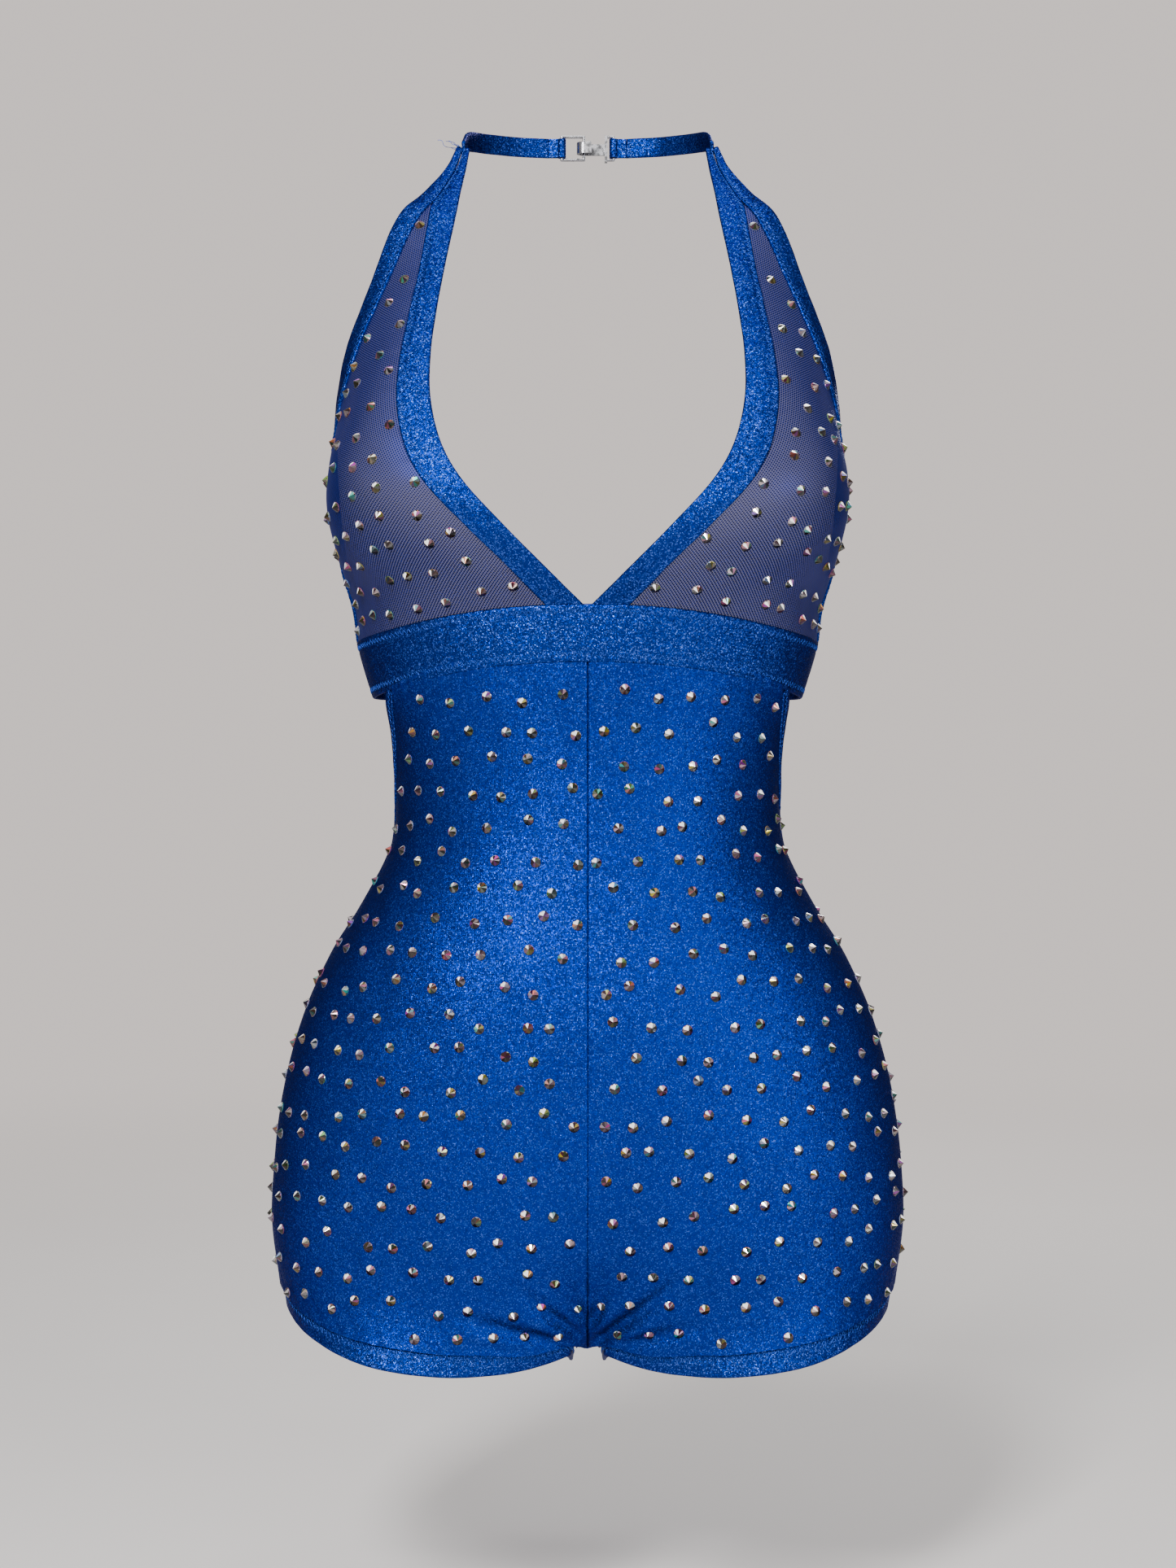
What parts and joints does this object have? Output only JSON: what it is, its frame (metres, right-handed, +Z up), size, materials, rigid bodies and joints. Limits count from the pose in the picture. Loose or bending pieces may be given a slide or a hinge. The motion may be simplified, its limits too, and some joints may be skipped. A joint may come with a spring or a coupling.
{
  "type": "gymnastics leotard",
  "caption": "Sleeveless halter leotard in its worn shape: plunging neckline, sheer cups, band under the bust, open sides and back, short legs, set all over with crystals.",
  "frame": {"origin": "middle of the underside of the whole garment, level with the lowest point of the leg hems", "axes": "+Z up towards the neck, +X towards the wearer's left, and the front of the garment faces -Y"},
  "size_m": [0.3301, 0.2307, 0.6578],
  "materials": {
    "body_lycra": "glitter foil print on stretch knit",
    "band_lycra": "the same cloth folded double and zigzag stitched",
    "power_mesh": "fine see-through stretch net",
    "lining": "matt knit",
    "elastic": "ribbed woven elastic",
    "metal": "bright plate",
    "crystal": "faceted glass with an iridescent coating"
  },
  "bodies": {
    "garment": {"front_panel_left": "body_lycra", "front_panel_right": "body_lycra", "back_panel_left": "body_lycra", "back_panel_right": "body_lycra", "crotch_gusset": "body_lycra", "gusset_lining": "lining", "underbust_band_front": "band_lycra", "underbust_band_back": "band_lycra", "underbust_elastic": "elastic", "mesh_cup_left": "power_mesh", "mesh_cup_right": "power_mesh", "neckline_binding_left": "band_lycra", "neckline_binding_right": "band_lycra", "armhole_binding_left": "band_lycra", "armhole_binding_right": "band_lycra", "waist_binding_left": "band_lycra", "waist_binding_right": "band_lycra", "leg_hem_left": "band_lycra", "leg_hem_right": "band_lycra", "leg_elastic_left": "elastic", "leg_elastic_right": "elastic", "neck_strap_left": "band_lycra", "neck_strap_right": "band_lycra", "neck_loop_left": "band_lycra", "neck_loop_right": "band_lycra", "neck_hook": "metal", "crystals_cup_left": "crystal", "crystals_cup_right": "crystal", "crystals_front_left": "crystal", "crystals_front_right": "crystal", "crystals_back_left": "crystal", "crystals_back_right": "crystal"},
    "neck_ring": {"neck_ring": "metal"}
  },
  "joints": [
    {"name": "neck_ring_swing", "type": "hinge", "parent": "garment", "child": "neck_ring", "pos_m": [-0.014, 0.0567, 0.6508], "axis": [0, 0, 1], "range_deg": [-7, 7]}
  ]
}
